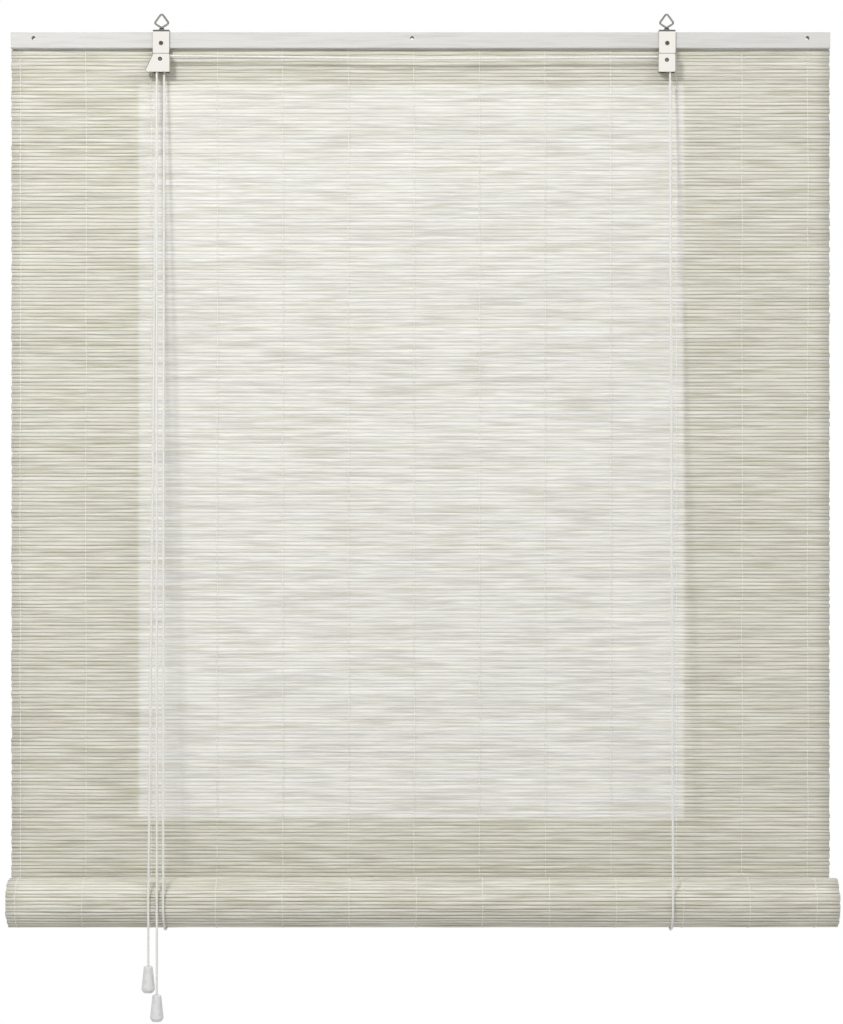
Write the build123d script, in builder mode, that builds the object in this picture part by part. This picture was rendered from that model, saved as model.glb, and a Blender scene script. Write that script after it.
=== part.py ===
from build123d import *
from math import acos, atan, atan2, ceil, cos, degrees, hypot, pi, sin, tan
import os

# Roll up blind of narrow slats, half raised. Millimetres, +Z up, front towards -Y.
# The origin is midway between the two end screw holes, on the headrail's back face.

# Headrail: the mat's top edge is held between a front lath and a back lath
blind_width = 900
rail_height = 17.6
front_lath_thickness = 6
back_lath_thickness = 5
lath_chamfer = 0.6
screw_drop = 6.5
screw_spacing = 850
middle_screw_x = -9.3
screw_hole_radius = 2.2

# Slat mat
slat_thickness = 1.5
slat_pitch = 4
groove_width = 0.6
groove_depth = 0.45
drop_length = 952
thread_count = 13
thread_pitch = 72.2
thread_shift = -7
gap_height = 0.5
gap_count = 72
gap_bays = 4
gap_margin = 3

# Roll at the bottom and the stiff lath inside it
roll_radius = 27.8
turn_pitch = 2.3
turn_count = 7.75
roll_shift = 2
body_gap = 0.3
bottom_lath_height = 13
bottom_lath_thickness = 5
seated_slats = 3

# Straps folded over the headrail
left_strap_x = -284.7
right_strap_x = 270.8
strap_width = 18
strap_sheet = 1.2
strap_headroom = 1.6
strap_bend = 3
strap_corner = 3
front_leg_drop = 24.4
back_leg_drop = 29
strap_rivet_drop = 12.5
strap_rivet_radius = 1.6
strap_rivet_bore = 1.2
strap_rivet_head = 2.5
strap_rivet_head_thickness = 0.6
strap_rivet_bore_depth = 7
strap_rivet_rim = 0.5
fit_clearance = 0.05

# Housings under the straps
housing_sheet = 1
housing_room = 7.4
housing_top_drop = 24.6
housing_bottom_drop = 45.3
housing_corner = 2
housing_fold = 0.9
lock_left_top_x = -292.7
lock_left_bottom_x = -302.6
lock_right_x = -274.1
pulley_left_x = 259.9
pulley_right_x = 279.6
tongue_width = 13
tongue_top_drop = 3
lip_width = 9.1
window_height = 3.3

# Sheaves on their rivets, and the loose lock roller
lock_axle_x = -285
lock_axle_drop = 31.1
pulley_axle_x = 269.7
pulley_axle_drop = 32.2
axle_radius = 1
axle_head_radius = 2.3
axle_head_thickness = 1.1
axle_head_chamfer = 0.9
sheave_cord_radius = 3.85
sheave_rim_radius = 3.3
groove_spacing = 3.4
sheave_length = 6.8
sheave_side_room = 0.2
lock_roller_radius = 3
lock_roller_chamfer = 0.4

# Hanging eyes
eye_wire_radius = 1.1
eye_apex_height = 21.6
eye_shoulder_height = 10.6
eye_shoulder_reach = 8
eye_bend = 2
eye_collar_radius = 4.2
eye_collar_height = 2.6
eye_neck_radius = 2
eye_shank_radius = 1.5
eye_foot_radius = 2.8
eye_foot_thickness = 0.9

# Cords, knots and toggles
cord_radius = 1.3
cord_end_drop = 25
cord_end_bend = 3.2
left_cord_x = -277.4
right_cord_x = 272.3
cord_joint_gap = 0.1
stub_below_housing = 1.2
cross_cord_sag = 3.2
cord_hole_clearance = 0.4
left_anchor_shift = 3
right_anchor_shift = 1.5
knot_radius = 2.7
knot_length = 3.6
knot_chamfer = 1.1
left_pull_x = -293.4
right_pull_x = -284.2
left_toggle_top_drop = 1016.5
right_toggle_top_drop = 1047.5
toggle_length = 28.4
toggle_radius = 7.4
toggle_neck_radius = 4.7
toggle_bore_radius = 1.6
toggle_recess_radius = 4.2
toggle_recess_depth = 9
toggle_rim = 0.8
toggle_rounding = 3.5
toggle_neck_rounding = 1.6

# Places worked out from the sizes above
rail_top = screw_drop
rail_bottom = rail_top - rail_height
mat_back_y = -back_lath_thickness
mat_front_y = mat_back_y - slat_thickness
rail_front_y = mat_front_y - front_lath_thickness
roll_y = mat_back_y - roll_radius
roll_z = rail_top - drop_length
bight_radius = roll_radius + body_gap + cord_radius
back_cord_y = roll_y + bight_radius
front_cord_y = roll_y - bight_radius
housing_back_y = rail_front_y - housing_sheet
housing_front_y = housing_back_y - housing_room - housing_sheet
housing_middle_y = housing_back_y - housing_room / 2
left_groove_y = housing_middle_y + groove_spacing / 2
right_groove_y = housing_middle_y - groove_spacing / 2
housing_top = rail_top - housing_top_drop
housing_bottom = rail_top - housing_bottom_drop
strap_front_y = rail_front_y - housing_sheet - strap_sheet
strap_top = rail_top + strap_headroom + strap_sheet
strap_middle_y = (strap_front_y + strap_sheet) / 2
strap_rivet_z = rail_top - strap_rivet_drop
lock_axle_z = rail_top - lock_axle_drop
pulley_axle_z = rail_top - pulley_axle_drop
cord_exit_z = housing_bottom - stub_below_housing
strap_xs = {"left": left_strap_x, "right": right_strap_x}
anchor_xs = {"left": left_strap_x + left_anchor_shift, "right": right_strap_x + right_anchor_shift}
cord_xs = {"left": left_cord_x, "right": right_cord_x}
groove_ys = {"left": left_groove_y, "right": right_groove_y}
seated = (Align.CENTER, Align.CENTER, Align.MIN)

os.makedirs("parts", exist_ok=True)


def side_points(joints, side, grooved):
    """Points along one face of a row of slats, with a V groove at each joint marked as grooved."""
    half = slat_thickness / 2
    points = []
    for index, (y, z) in enumerate(joints):
        before = joints[max(index - 1, 0)]
        after = joints[min(index + 1, len(joints) - 1)]
        turn_in = atan2(z - before[1], y - before[0])
        turn_out = atan2(after[1] - z, after[0] - y)
        if index == 0:
            turn_in = turn_out
        if index == len(joints) - 1:
            turn_out = turn_in
        middle = turn_in + ((turn_out - turn_in + pi) % (2 * pi) - pi) / 2
        reach = half / cos(middle - turn_in)
        corner = (y - side * reach * sin(middle), z + side * reach * cos(middle))
        if grooved(index) and 0 < index < len(joints) - 1:
            spread = groove_width / 2
            floor = (reach - groove_depth) / reach
            points.append((corner[0] - spread * cos(turn_in), corner[1] - spread * sin(turn_in)))
            points.append((y + (corner[0] - y) * floor, z + (corner[1] - z) * floor))
            points.append((corner[0] + spread * cos(turn_out), corner[1] + spread * sin(turn_out)))
        else:
            points.append(corner)
    return points


# Mat drop: flat slats with a groove between each pair, front and back
drop_slats = round(drop_length / slat_pitch)
drop_end = roll_z + body_gap
drop_joints = [(mat_back_y - slat_thickness / 2, rail_top - slat_pitch * n) for n in range(drop_slats)]
drop_joints.append((mat_back_y - slat_thickness / 2, drop_end))
drop_outline = side_points(drop_joints, 1, lambda index: True)
drop_outline += reversed(side_points(drop_joints, -1, lambda index: True))

# The gaps that let light through lie in the grooves, from one thread to another
first_gap_row = ceil(rail_height / slat_pitch) + 1
gap_rows = (drop_slats - first_gap_row - 1) / gap_count
bays = thread_count - 1
gap_length = gap_bays * thread_pitch - 2 * gap_margin
gap_places = []
for gap in range(gap_count):
    row = first_gap_row + round(gap * gap_rows)
    first_bay = (gap * 5) % (bays - gap_bays + 1)
    gap_x = thread_shift + (first_bay + gap_bays / 2 - bays / 2) * thread_pitch
    gap_places.append((gap_x, mat_back_y - slat_thickness / 2, rail_top - slat_pitch * row))

screw_xs = [-screw_spacing / 2, middle_screw_x, screw_spacing / 2]
screw_places = [(x, 0, 0) for x in screw_xs]
strap_rivet_places = [(x, 0, strap_rivet_z) for x in strap_xs.values()]
rail_depth = -rail_front_y

with BuildPart() as mat_drop:
    with BuildSketch(Plane.YZ):
        with BuildLine():
            Polyline(*drop_outline, close=True)
        make_face()
    extrude(amount=blind_width / 2, both=True)
    with Locations(*gap_places):
        Box(gap_length, 2 * slat_thickness, gap_height, mode=Mode.SUBTRACT)
    with Locations(*[Plane.XZ.offset(rail_depth) * Pos(x, z) for x, y, z in screw_places]):
        Cylinder(screw_hole_radius, 3 * rail_depth, mode=Mode.SUBTRACT)
    with Locations(*[Plane.XZ.offset(rail_depth) * Pos(x, z) for x, y, z in strap_rivet_places]):
        Cylinder(strap_rivet_radius + fit_clearance, 3 * rail_depth, mode=Mode.SUBTRACT)
mat_drop.part.label = "mat_drop"
export_step(mat_drop.part, "parts/mat_drop.step")

# Mat roll: the spiral starts behind, passes under the roll and up its front, and winds inwards.
# Its last slats lie along the bottom lath's back face.
middle_radius = roll_radius - slat_thickness / 2
spiral_joints = []
angle = 0
while angle < 2 * pi * turn_count:
    radius = middle_radius - turn_pitch * angle / (2 * pi)
    spiral_joints.append((roll_y + radius * cos(angle), roll_z - radius * sin(angle)))
    angle += slat_pitch / radius
first_turn_slats = round(2 * pi * middle_radius / slat_pitch)
seat_y = roll_y + bottom_lath_thickness / 2 + slat_thickness / 2
seat_z = spiral_joints[-1][1] - slat_pitch / 2
for slat in range(seated_slats + 1):
    spiral_joints.append((seat_y, seat_z - slat_pitch * slat))
roll_outline = side_points(spiral_joints, 1, lambda index: index < first_turn_slats)
roll_outline += reversed(side_points(spiral_joints, -1, lambda index: False))

with BuildPart() as mat_roll:
    with BuildSketch(Plane.YZ.offset(roll_shift)):
        with BuildLine():
            Polyline(*roll_outline, close=True)
        make_face()
    extrude(amount=blind_width / 2, both=True)
mat_roll.part.label = "mat_roll"
export_step(mat_roll.part, "parts/mat_roll.step")

with BuildPart() as bottom_lath:
    with Locations((roll_shift, roll_y, roll_z)):
        Box(blind_width, bottom_lath_thickness, bottom_lath_height)
    chamfer(bottom_lath.edges().filter_by(Axis.X), lath_chamfer)
bottom_lath.part.label = "bottom_lath"
export_step(bottom_lath.part, "parts/bottom_lath.step")


def drilled_lath(back_y, thickness):
    """A lath of the headrail with its screw holes and rivet holes."""
    with BuildPart() as lath:
        with Locations((0, back_y - thickness / 2, (rail_top + rail_bottom) / 2)):
            Box(blind_width, thickness, rail_height)
        chamfer(lath.edges().filter_by(Axis.X), lath_chamfer)
        with Locations(*[Plane.XZ.offset(rail_depth) * Pos(x, z) for x, y, z in screw_places]):
            Cylinder(screw_hole_radius, 3 * rail_depth, mode=Mode.SUBTRACT)
        with Locations(*[Plane.XZ.offset(rail_depth) * Pos(x, z) for x, y, z in strap_rivet_places]):
            Cylinder(strap_rivet_radius + fit_clearance, 3 * rail_depth, mode=Mode.SUBTRACT)
    return lath.part


front_lath = drilled_lath(mat_front_y, front_lath_thickness)
front_lath.label = "front_lath"
export_step(front_lath, "parts/front_lath.step")
back_lath = drilled_lath(0, back_lath_thickness)
back_lath.label = "back_lath"
export_step(back_lath, "parts/back_lath.step")

# Straps folded over the headrail, from the back leg's foot up, over and down the front
strap_depth = strap_sheet - strap_front_y
anchor_z = rail_top - cord_end_drop
for side, strap_x in strap_xs.items():
    with BuildPart() as strap:
        with BuildSketch(Plane.YZ.offset(strap_x)):
            with BuildLine():
                FilletPolyline(
                    (strap_sheet, rail_top - back_leg_drop),
                    (strap_sheet, strap_top),
                    (strap_front_y, strap_top),
                    (strap_front_y, rail_top - front_leg_drop),
                    radius=strap_bend,
                )
                offset(amount=strap_sheet, side=Side.LEFT)
            make_face()
        extrude(amount=strap_width / 2, both=True)
        leg_ends = strap.edges().filter_by(Axis.Y).filter_by_position(Axis.Z, -housing_bottom_drop, 0)
        fillet(leg_ends, strap_corner)
        with Locations(Plane.XZ * Pos(strap_x, strap_rivet_z)):
            Cylinder(strap_rivet_radius + fit_clearance, 4 * strap_depth, mode=Mode.SUBTRACT)
        with Locations((strap_x, strap_middle_y, strap_top)):
            Cylinder(eye_shank_radius + fit_clearance, 4 * strap_sheet, mode=Mode.SUBTRACT)
        with Locations(Plane.XZ * Pos(anchor_xs[side], anchor_z)):
            Cylinder(cord_radius + cord_hole_clearance, 4 * strap_sheet, mode=Mode.SUBTRACT)
    strap.part.label = f"hanger_strap_{side}"
    export_step(strap.part, f"parts/hanger_strap_{side}.step")

# Semi-tubular rivets through strap, housing tongue and headrail: the rolled head in front shows the bore
for side, strap_x in strap_xs.items():
    rivet_front = Plane.XZ.offset(-strap_front_y) * Pos(strap_x, strap_rivet_z)
    rivet_back = Plane.XZ.offset(-strap_sheet - strap_rivet_head_thickness) * Pos(strap_x, strap_rivet_z)
    with BuildPart() as rivet:
        with Locations(rivet_back):
            Cylinder(strap_rivet_head, strap_rivet_head_thickness, align=seated)
            Cylinder(strap_rivet_radius, strap_rivet_head_thickness + strap_depth, align=seated)
        with Locations(rivet_front):
            Cylinder(strap_rivet_head, strap_rivet_head_thickness, align=seated)
            Cylinder(strap_rivet_bore, 2 * strap_rivet_bore_depth, mode=Mode.SUBTRACT)
        chamfer(rivet.edges().group_by(Axis.Y)[0].sort_by(SortBy.RADIUS)[-1], strap_rivet_rim)
        chamfer(rivet.edges().group_by(Axis.Y)[-1], strap_rivet_rim)
    rivet.part.label = f"strap_rivet_{side}"
    export_step(rivet.part, f"parts/strap_rivet_{side}.step")

# Hanging eyes: a kite-shaped wire loop on a collar, its shank riveted loosely through the strap
for side, strap_x in strap_xs.items():
    collar_z = strap_top + body_gap
    loop_z = collar_z + eye_collar_height
    foot_top = rail_top + strap_headroom - body_gap
    with BuildPart() as eye:
        with BuildLine(Plane.XZ.offset(-strap_middle_y)) as loop:
            FilletPolyline(
                (strap_x, loop_z),
                (strap_x + eye_shoulder_reach, rail_top + eye_shoulder_height),
                (strap_x, rail_top + eye_apex_height),
                (strap_x - eye_shoulder_reach, rail_top + eye_shoulder_height),
                radius=eye_bend,
                close=True,
            )
        with BuildSketch(Plane(origin=loop.line @ 0, z_dir=loop.line % 0)):
            Circle(eye_wire_radius)
        sweep(path=loop.line)
        with Locations((strap_x, strap_middle_y, collar_z)):
            Cone(eye_collar_radius, eye_neck_radius, eye_collar_height, align=seated)
        with Locations((strap_x, strap_middle_y, foot_top - eye_foot_thickness)):
            Cylinder(eye_foot_radius, eye_foot_thickness, align=seated)
            Cylinder(eye_shank_radius, collar_z - foot_top + eye_foot_thickness, align=seated)
    eye.part.label = f"hanging_eye_{side}"
    export_step(eye.part, f"parts/hanging_eye_{side}.step")


def folded_housing(outline, strap_x, axle, window, opening):
    """A sheet housing with a tongue behind the strap: outline, axle and window are in X and Z."""
    with BuildPart() as housing:
        with BuildSketch(Plane.XZ.offset(-rail_front_y)) as face:
            with BuildLine():
                Polyline(*outline, close=True)
            make_face()
            fillet(face.vertices(), housing_corner)
        extrude(amount=rail_front_y - housing_front_y)
        fillet(housing.edges().group_by(Axis.Y)[0], housing_fold)
        with BuildSketch(Plane.XZ.offset(-housing_back_y)):
            add(face.sketch_local)
            offset(amount=-housing_sheet, mode=Mode.REPLACE)
        extrude(amount=housing_room, mode=Mode.SUBTRACT)
        with BuildSketch(Plane.XZ.offset(-housing_back_y)):
            with Locations(((opening[0] + opening[1]) / 2, housing_bottom)):
                Rectangle(opening[1] - opening[0], 2 * (housing_sheet + housing_corner))
            with Locations(window):
                Rectangle(4 * housing_sheet, window_height)
        extrude(amount=housing_room, mode=Mode.SUBTRACT)
        with BuildSketch(Plane.XZ.offset(-rail_front_y)):
            with Locations((strap_x, rail_top - tongue_top_drop)):
                tongue_height = housing_top_drop - tongue_top_drop + housing_sheet
                Rectangle(tongue_width, tongue_height, align=(Align.CENTER, Align.MAX))
        extrude(amount=housing_sheet)
        with Locations(Plane.XZ * Pos(*axle)):
            Cylinder(axle_radius + fit_clearance, 8 * rail_depth, mode=Mode.SUBTRACT)
        with Locations(Plane.XZ * Pos(strap_x, strap_rivet_z)):
            Cylinder(strap_rivet_radius + fit_clearance, 8 * rail_depth, mode=Mode.SUBTRACT)
    return housing.part


# Cord lock housing: its slanted side makes a wedge with the pull cords, its lip keeps the roller in
lock_outline = [
    (lock_left_top_x, housing_top),
    (lock_right_x, housing_top),
    (lock_right_x, housing_bottom),
    (lock_left_bottom_x, housing_bottom),
]
lock_axle = (lock_axle_x, lock_axle_z)
lock_window = (lock_right_x - housing_sheet / 2, lock_axle_z + sheave_cord_radius)
lock_opening = (lock_left_bottom_x + lip_width, lock_right_x - housing_sheet)
lock_housing = folded_housing(lock_outline, left_strap_x, lock_axle, lock_window, lock_opening)
lock_housing.label = "cord_lock_housing"
export_step(lock_housing, "parts/cord_lock_housing.step")

pulley_outline = [
    (pulley_left_x, housing_top),
    (pulley_right_x, housing_top),
    (pulley_right_x, housing_bottom),
    (pulley_left_x, housing_bottom),
]
pulley_axle = (pulley_axle_x, pulley_axle_z)
pulley_window = (pulley_left_x + housing_sheet / 2, pulley_axle_z + sheave_cord_radius)
pulley_opening = (pulley_left_x + housing_sheet, pulley_right_x - housing_sheet)
pulley_housing = folded_housing(pulley_outline, right_strap_x, pulley_axle, pulley_window, pulley_opening)
pulley_housing.label = "pulley_housing"
export_step(pulley_housing, "parts/pulley_housing.step")

# Axle rivets with chamfered front heads, and the two alike sheaves that turn on them
rim = cord_radius + sheave_side_room
floor_width = rim / 2
floor_radius = sheave_cord_radius - cord_radius - body_gap
sheave_profile = [(axle_radius + fit_clearance, housing_middle_y - sheave_length / 2)]
sheave_profile.append((sheave_rim_radius, housing_middle_y - sheave_length / 2))
for groove_y in (right_groove_y, left_groove_y):
    sheave_profile.append((sheave_rim_radius, groove_y - rim))
    sheave_profile.append((floor_radius, groove_y - floor_width))
    sheave_profile.append((floor_radius, groove_y + floor_width))
    sheave_profile.append((sheave_rim_radius, groove_y + rim))
sheave_profile.append((sheave_rim_radius, housing_middle_y + sheave_length / 2))
sheave_profile.append((axle_radius + fit_clearance, housing_middle_y + sheave_length / 2))

for name, (axle_x, axle_z) in {"lock": lock_axle, "pulley": pulley_axle}.items():
    with BuildPart() as sheave:
        with BuildSketch(Plane.XY.offset(axle_z)):
            with Locations((axle_x, 0)):
                with BuildLine():
                    Polyline(*[(axle_x + radius, y) for radius, y in sheave_profile], close=True)
                make_face()
        revolve(axis=Axis((axle_x, 0, axle_z), (0, 1, 0)))
    sheave.part.label = f"{name}_sheave"
    export_step(sheave.part, f"parts/{name}_sheave.step")

    with BuildPart() as axle:
        with Locations(Plane.XZ.offset(-rail_front_y) * Pos(axle_x, axle_z)):
            Cylinder(axle_radius, rail_front_y - housing_front_y, align=seated)
        with Locations(Plane.XZ.offset(-housing_front_y) * Pos(axle_x, axle_z)):
            Cylinder(axle_head_radius, axle_head_thickness, align=seated)
        with Locations(Plane.XZ.offset(-rail_front_y - axle_head_thickness) * Pos(axle_x, axle_z)):
            Cylinder(axle_head_radius, axle_head_thickness, align=seated)
        chamfer(axle.edges().group_by(Axis.Y)[0], axle_head_chamfer)
    axle.part.label = f"{name}_axle"
    export_step(axle.part, f"parts/{name}_axle.step")

# Lock roller: it rests just clear of the pull cords and of the slanted side
slant = atan((lock_left_top_x - lock_left_bottom_x) / (housing_top - housing_bottom))
pull_side_x = lock_axle_x - sheave_cord_radius - cord_radius
roller_x = pull_side_x - body_gap - lock_roller_radius
slanted_top_x = lock_left_top_x + housing_sheet / cos(slant)
roller_reach = (lock_roller_radius + body_gap) / cos(slant)
roller_z = housing_top - (slanted_top_x - roller_x + roller_reach) / tan(slant)
with BuildPart() as lock_roller:
    with Locations(Plane.XZ.offset(-housing_middle_y) * Pos(roller_x, roller_z)):
        Cylinder(lock_roller_radius, sheave_length)
    chamfer(lock_roller.edges().filter_by(GeomType.CIRCLE), lock_roller_chamfer)
lock_roller.part.label = "lock_roller"
export_step(lock_roller.part, "parts/lock_roller.step")


def straight_cord(start, end):
    """A taut run of cord from one point to another."""
    with BuildPart() as run:
        with BuildLine() as path:
            Line(start, end)
        with BuildSketch(Plane(origin=path.line @ 0, z_dir=path.line % 0)):
            Circle(cord_radius)
        sweep(path=path.line)
    return run.part


# Lift cord heads: each comes up from the front run and over its sheave. The right one crosses to the left.
lift_x = lock_axle_x + sheave_cord_radius
pull_x = lock_axle_x - sheave_cord_radius
with BuildPart() as left_head:
    with BuildLine(Plane.XZ.offset(-left_groove_y)) as path:
        Line((lift_x, cord_exit_z), (lift_x, lock_axle_z))
        CenterArc((lock_axle_x, lock_axle_z), sheave_cord_radius, 0, 180)
        Line((pull_x, lock_axle_z), (pull_x, cord_exit_z))
    with BuildSketch(Plane(origin=path.line @ 0, z_dir=path.line % 0)):
        Circle(cord_radius)
    sweep(path=path.line)
left_head.part.label = "lift_cord_head_left"
export_step(left_head.part, "parts/lift_cord_head_left.step")

right_lift_x = pulley_axle_x + sheave_cord_radius
cross_left_z = lock_axle_z + sheave_cord_radius
cross_right_z = pulley_axle_z + sheave_cord_radius
cross_middle_x = (pull_x + right_lift_x) / 2
cross_middle_z = (cross_left_z + cross_right_z) / 2 - cross_cord_sag
half_span = (right_lift_x - pull_x) / 2
cross_turn = (cross_left_z + cross_right_z - 2 * cross_middle_z) / half_span
cross_radius = 0.45 * half_span / tan(cross_turn / 2)
print(f"cross cord bend radii: {sheave_cord_radius}, {cross_radius:.0f}, {sheave_cord_radius} mm")
with BuildPart() as right_head:
    with BuildLine(Plane.XZ.offset(-right_groove_y)) as path:
        FilletPolyline(
            (right_lift_x, cord_exit_z),
            (right_lift_x, cross_right_z),
            (cross_middle_x, cross_middle_z),
            (pull_x, cross_left_z),
            (pull_x, cord_exit_z),
            radius=[sheave_cord_radius, cross_radius, sheave_cord_radius],
        )
    with BuildSketch(Plane(origin=path.line @ 0, z_dir=path.line % 0)):
        Circle(cord_radius)
    sweep(path=path.line)
right_head.part.label = "lift_cord_head_right"
export_step(right_head.part, "parts/lift_cord_head_right.step")

# Lift cords below the headrail: front run, bight under the roll, back run, and the knotted end
run_top_z = cord_exit_z - cord_joint_gap
for side, top_x in {"left": lift_x, "right": right_lift_x}.items():
    rise = run_top_z - roll_z
    reach = groove_ys[side] - roll_y
    front_angle = atan2(rise, reach) + acos(bight_radius / hypot(rise, reach))
    touch_y = roll_y + bight_radius * cos(front_angle)
    touch_z = roll_z + bight_radius * sin(front_angle) + cord_joint_gap
    front_run = straight_cord((top_x, groove_ys[side], run_top_z), (cord_xs[side], touch_y, touch_z))
    front_run.label = f"lift_cord_front_{side}"
    export_step(front_run, f"parts/lift_cord_front_{side}.step")

    with BuildPart() as bight:
        with BuildLine(Plane.YZ.offset(cord_xs[side])) as path:
            CenterArc((roll_y, roll_z), bight_radius, 0, degrees(front_angle) - 360)
        with BuildSketch(Plane(origin=path.line @ 0, z_dir=path.line % 0)):
            Circle(cord_radius)
        sweep(path=path.line)
    bight.part.label = f"lift_cord_bight_{side}"
    export_step(bight.part, f"parts/lift_cord_bight_{side}.step")

    end_z = anchor_z - cord_end_bend
    back_run = straight_cord(
        (anchor_xs[side], back_cord_y, end_z - cord_joint_gap),
        (cord_xs[side], back_cord_y, roll_z + cord_joint_gap),
    )
    back_run.label = f"lift_cord_back_{side}"
    export_step(back_run, f"parts/lift_cord_back_{side}.step")

    with BuildPart() as cord_end:
        with BuildLine(Plane.YZ.offset(anchor_xs[side])) as path:
            Line((strap_sheet, anchor_z), (back_cord_y + cord_end_bend, anchor_z))
            CenterArc((back_cord_y + cord_end_bend, end_z), cord_end_bend, 90, 90)
        with BuildSketch(Plane(origin=path.line @ 0, z_dir=path.line % 0)):
            Circle(cord_radius)
        sweep(path=path.line)
        with Locations(Plane.XZ.offset(-strap_sheet) * Pos(anchor_xs[side], anchor_z)):
            knot = Cylinder(knot_radius, knot_length, align=(Align.CENTER, Align.CENTER, Align.MAX))
        chamfer(knot.edges().filter_by(GeomType.CIRCLE), knot_chamfer)
    cord_end.part.label = f"lift_cord_end_{side}"
    export_step(cord_end.part, f"parts/lift_cord_end_{side}.step")
print(f"bight radius: {bight_radius:.1f} mm, cord end bend radius: {cord_end_bend} mm")

# Pull cords: an upper run from the lock to the roll's front, a lower run to the toggle, and a knot
pulls = {"left": (left_pull_x, left_toggle_top_drop), "right": (right_pull_x, right_toggle_top_drop)}
for side, (x, toggle_drop) in pulls.items():
    upper = straight_cord((pull_x, groove_ys[side], run_top_z), (x, front_cord_y, roll_z + cord_joint_gap))
    upper.label = f"pull_cord_upper_{side}"
    export_step(upper, f"parts/pull_cord_upper_{side}.step")

    toggle_z = rail_top - toggle_drop
    lower = straight_cord((x, front_cord_y, roll_z), (x, front_cord_y, toggle_z + cord_joint_gap))
    lower.label = f"pull_cord_lower_{side}"
    export_step(lower, f"parts/pull_cord_lower_{side}.step")

    recess_z = toggle_z - toggle_length + toggle_recess_depth
    with BuildPart() as toggle:
        with BuildSketch(Plane.XZ.offset(-front_cord_y)) as half:
            with BuildLine():
                Polyline(
                    (x, toggle_z),
                    (x + toggle_neck_radius, toggle_z),
                    (x + toggle_radius, toggle_z - toggle_length + toggle_rounding),
                    (x + toggle_recess_radius + toggle_rim, toggle_z - toggle_length),
                    (x, toggle_z - toggle_length),
                    close=True,
                )
            make_face()
            fillet(half.vertices().group_by(Axis.X)[-1], toggle_rounding)
            fillet(half.vertices().group_by(Axis.Y)[-1].sort_by(Axis.X)[-1], toggle_neck_rounding)
        revolve(axis=Axis((x, front_cord_y, toggle_z), (0, 0, 1)))
        with Locations((x, front_cord_y, toggle_z - toggle_length)):
            Cylinder(toggle_recess_radius, toggle_recess_depth, align=seated, mode=Mode.SUBTRACT)
            Cylinder(toggle_bore_radius, toggle_length, align=seated, mode=Mode.SUBTRACT)
    toggle.part.label = f"toggle_{side}"
    export_step(toggle.part, f"parts/toggle_{side}.step")

    with BuildPart() as pull_knot:
        with Locations((x, front_cord_y, recess_z - knot_length)):
            knot = Cylinder(knot_radius, knot_length, align=seated)
        chamfer(knot.edges().filter_by(GeomType.CIRCLE), knot_chamfer)
        with Locations((x, front_cord_y, recess_z - knot_length / 2)):
            Cylinder(cord_radius, toggle_z - recess_z + knot_length / 2, align=seated)
    pull_knot.part.label = f"pull_knot_{side}"
    export_step(pull_knot.part, f"parts/pull_knot_{side}.step")
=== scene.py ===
from math import acos, atan2, hypot, pi, radians

import bpy
import numpy as np
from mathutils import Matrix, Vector


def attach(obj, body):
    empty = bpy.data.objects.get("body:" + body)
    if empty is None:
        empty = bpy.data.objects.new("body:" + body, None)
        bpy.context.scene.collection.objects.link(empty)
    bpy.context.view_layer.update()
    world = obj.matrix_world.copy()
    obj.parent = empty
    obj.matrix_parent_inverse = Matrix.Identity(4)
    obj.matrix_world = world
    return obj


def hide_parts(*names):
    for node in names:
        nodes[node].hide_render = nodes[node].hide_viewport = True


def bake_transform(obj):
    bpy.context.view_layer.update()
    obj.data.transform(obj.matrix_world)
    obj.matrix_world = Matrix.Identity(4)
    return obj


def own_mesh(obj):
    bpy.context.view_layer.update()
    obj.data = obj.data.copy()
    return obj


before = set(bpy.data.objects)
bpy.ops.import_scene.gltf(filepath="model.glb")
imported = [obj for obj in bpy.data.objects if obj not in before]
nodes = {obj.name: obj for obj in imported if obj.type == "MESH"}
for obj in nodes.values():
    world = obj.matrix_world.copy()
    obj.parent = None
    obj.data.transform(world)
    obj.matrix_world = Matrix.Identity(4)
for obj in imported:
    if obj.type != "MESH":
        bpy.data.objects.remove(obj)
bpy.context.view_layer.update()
scene = bpy.context.scene
scene.view_settings.view_transform = "Standard"
chance = np.random.default_rng(7)

# the blind's own places, in metres, the same as in the CAD model
blind = {
    "width": 0.9,
    "slatPitch": 0.004,
    "slatThickness": 0.0015,
    "railTop": 0.0065,
    "railBottom": -0.0111,
    "matMiddleY": -0.00575,
    "dropLength": 0.952,
    "rollY": -0.0328,
    "rollZ": -0.9455,
    "rollRadius": 0.0278,
    "rollShift": 0.002,
    "turnPitch": 0.0023,
    "turnCount": 7.75,
    "liftTravel": 0.87,
}

# camera: straight in front, a little below the middle
cameraSettings = {"place": (0.0011, -2.7125, -0.5205), "lens": 86.45}

lensData = bpy.data.cameras.new("camera")
lensData.lens = cameraSettings["lens"]
lensData.sensor_width = 36
camera = bpy.data.objects.new("camera", lensData)
camera.location = cameraSettings["place"]
camera.rotation_euler = (radians(90), 0, 0)
scene.collection.objects.link(camera)
scene.camera = camera
print("camera set")

# how much of each finer layer of noise is added to the coarser one
noiseRoughness = 0.55


def addNode(tree, kind, **settings):
    # a new node of the kind, with its settings
    node = tree.nodes.new(kind)
    for key, value in settings.items():
        setattr(node, key, value)
    return node


def join(tree, source, target):
    # a link from another node's output, or the target's own value where the source is a number or a colour
    if isinstance(source, bpy.types.NodeSocket):
        tree.links.new(source, target)
    else:
        target.default_value = source


def combine(tree, operation, *values, clamp=False):
    # one sum on two or three values, kept between 0 and 1 where clamp is on
    node = addNode(tree, "ShaderNodeMath", operation=operation, use_clamp=clamp)
    for value, socket in zip(values, node.inputs):
        join(tree, value, socket)
    return node.outputs[0]


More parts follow.
